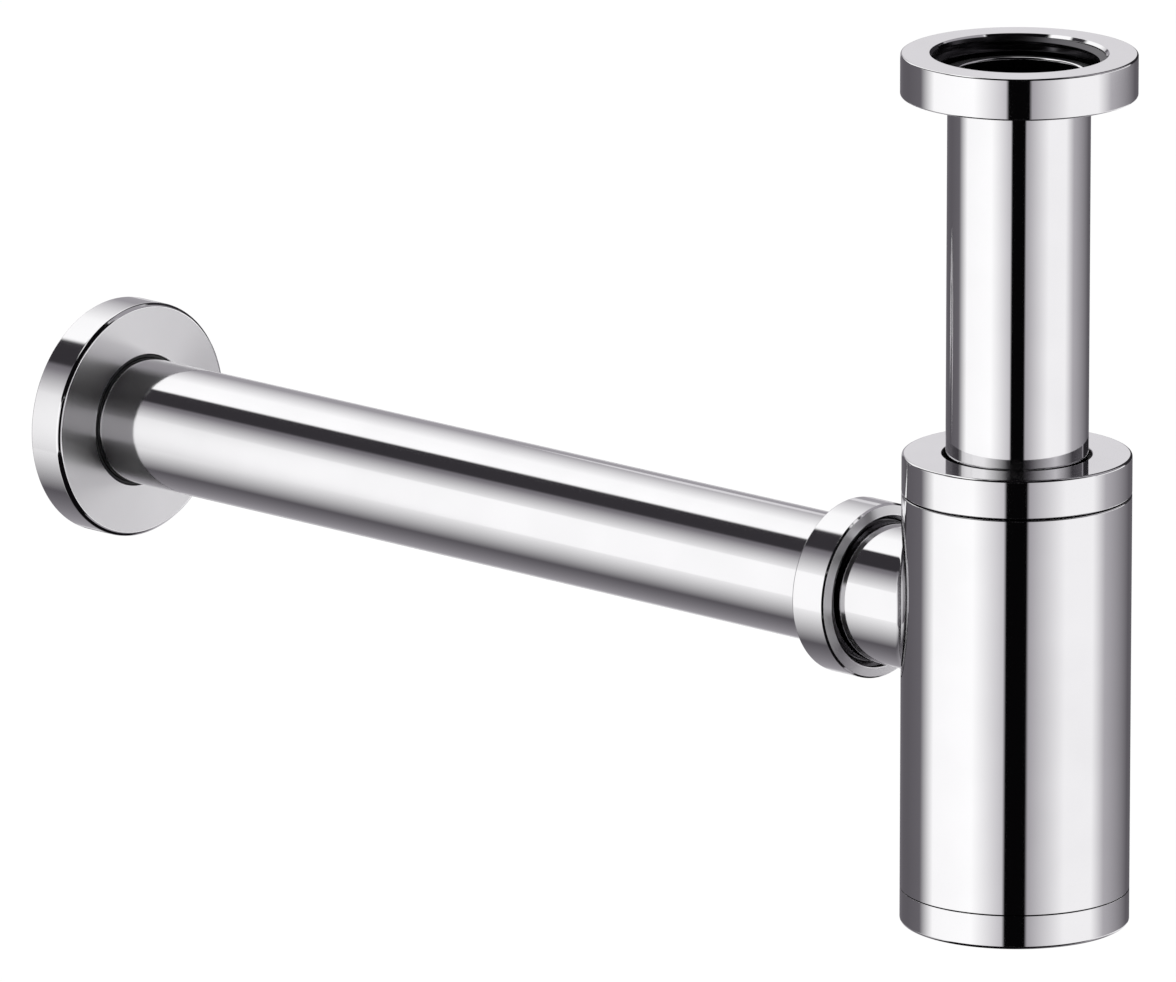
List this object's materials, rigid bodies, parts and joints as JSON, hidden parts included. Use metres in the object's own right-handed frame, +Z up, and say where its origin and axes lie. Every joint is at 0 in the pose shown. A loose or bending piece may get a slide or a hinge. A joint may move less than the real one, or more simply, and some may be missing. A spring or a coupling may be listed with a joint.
{
  "type": "bottle trap",
  "caption": "Round chromed bottle trap for a wash basin, with a telescoping basin tube, a level outlet pipe and a wall rosette.",
  "frame": {"origin": "on the axis of the inlet nut, at the inner end of its thread, level with the rim of the basin tube", "axes": "+Z up along the basin tube and the bottle, +Y along the outlet pipe towards the wall"},
  "size_m": [0.0602, 0.3461, 0.2166],
  "materials": {
    "polished_chrome": "polished chrome plate on brass",
    "satin_chrome": "chrome plate on drawn brass, with a fine satin grain",
    "black_rubber": "smooth moulded rubber",
    "white_plastic": "moulded white plastic",
    "dark_plastic": "moulded black plastic"
  },
  "bodies": {
    "inlet_nut": {"inlet_nut": "polished_chrome"},
    "inlet_ring": {"inlet_slip_ring": "white_plastic"},
    "inlet_tube": {"inlet_tube": "polished_chrome", "inlet_gasket": "black_rubber"},
    "tube_seal": {"tube_seal": "black_rubber"},
    "bottle": {"bottle_body": "polished_chrome", "dip_tube": "white_plastic", "dip_tube_gasket": "black_rubber"},
    "cap_ring": {"tube_slip_ring": "dark_plastic"},
    "bottle_cap": {"bottle_cap": "polished_chrome"},
    "plug_seal": {"plug_seal": "black_rubber"},
    "cleaning_plug": {"cleaning_plug": "polished_chrome"},
    "outlet_ring": {"outlet_slip_ring": "dark_plastic"},
    "outlet_nut": {"outlet_nut": "satin_chrome"},
    "outlet_seal": {"outlet_seal": "black_rubber"},
    "outlet_pipe": {"outlet_pipe": "satin_chrome"},
    "rosette_ring": {"rosette_grip_ring": "black_rubber"},
    "wall_rosette": {"wall_rosette": "satin_chrome"}
  },
  "joints": [
    {"name": "inlet_swivel", "type": "hinge", "parent": "inlet_nut", "child": "inlet_ring", "pos_m": [0, 0, 0], "axis": [0, 0, 1], "continuous": true},
    {"name": "inlet_nut_slide", "type": "slide", "parent": "inlet_ring", "child": "inlet_tube", "axis": [0, 0, 1], "range_m": [0, 0.04]},
    {"name": "height_slide", "type": "slide", "parent": "inlet_tube", "child": "tube_seal", "axis": [0, 0, 1], "range_m": [-0.025, 0.04]},
    {"name": "bottle_swivel", "type": "hinge", "parent": "tube_seal", "child": "bottle", "pos_m": [0, 0, 0], "axis": [0, 0, 1], "continuous": true},
    {"name": "cap_lift", "type": "slide", "parent": "bottle", "child": "cap_ring", "axis": [0, 0, 1], "range_m": [0, 0.0056]},
    {"name": "cap_turn", "type": "hinge", "parent": "cap_ring", "child": "bottle_cap", "pos_m": [0, 0, 0], "axis": [0, 0, 1], "range_deg": [0, 1320]},
    {"name": "plug_drop", "type": "slide", "parent": "bottle", "child": "plug_seal", "axis": [0, 0, -1], "range_m": [0, 0.0081]},
    {"name": "plug_turn", "type": "hinge", "parent": "plug_seal", "child": "cleaning_plug", "pos_m": [0, 0, 0], "axis": [0, 0, -1], "range_deg": [0, 1920]},
    {"name": "outlet_nut_travel", "type": "slide", "parent": "bottle", "child": "outlet_ring", "axis": [0, 1, 0], "range_m": [0, 0.0062]},
    {"name": "outlet_nut_turn", "type": "hinge", "parent": "outlet_ring", "child": "outlet_nut", "pos_m": [0, 0, -0.13695], "axis": [0, 1, 0], "range_deg": [0, 1460]},
    {"name": "pipe_swivel", "type": "hinge", "parent": "bottle", "child": "outlet_seal", "pos_m": [0, 0, -0.13695], "axis": [0, 1, 0], "continuous": true},
    {"name": "pipe_slide", "type": "slide", "parent": "outlet_seal", "child": "outlet_pipe", "axis": [0, 1, 0], "range_m": [-0.012, 0.008]},
    {"name": "rosette_slide", "type": "slide", "parent": "outlet_pipe", "child": "rosette_ring", "axis": [0, 1, 0], "range_m": [-0.22, 0.006]},
    {"name": "rosette_swivel", "type": "hinge", "parent": "rosette_ring", "child": "wall_rosette", "pos_m": [0, 0, -0.13695], "axis": [0, 1, 0], "continuous": true}
  ],
  "couplings": [
    {"joint": "cap_lift", "follows": "cap_turn", "m_per_rad": 0.00023873},
    {"joint": "plug_drop", "follows": "plug_turn", "m_per_rad": 0.00023873},
    {"joint": "outlet_nut_travel", "follows": "outlet_nut_turn", "m_per_rad": 0.00023873}
  ]
}
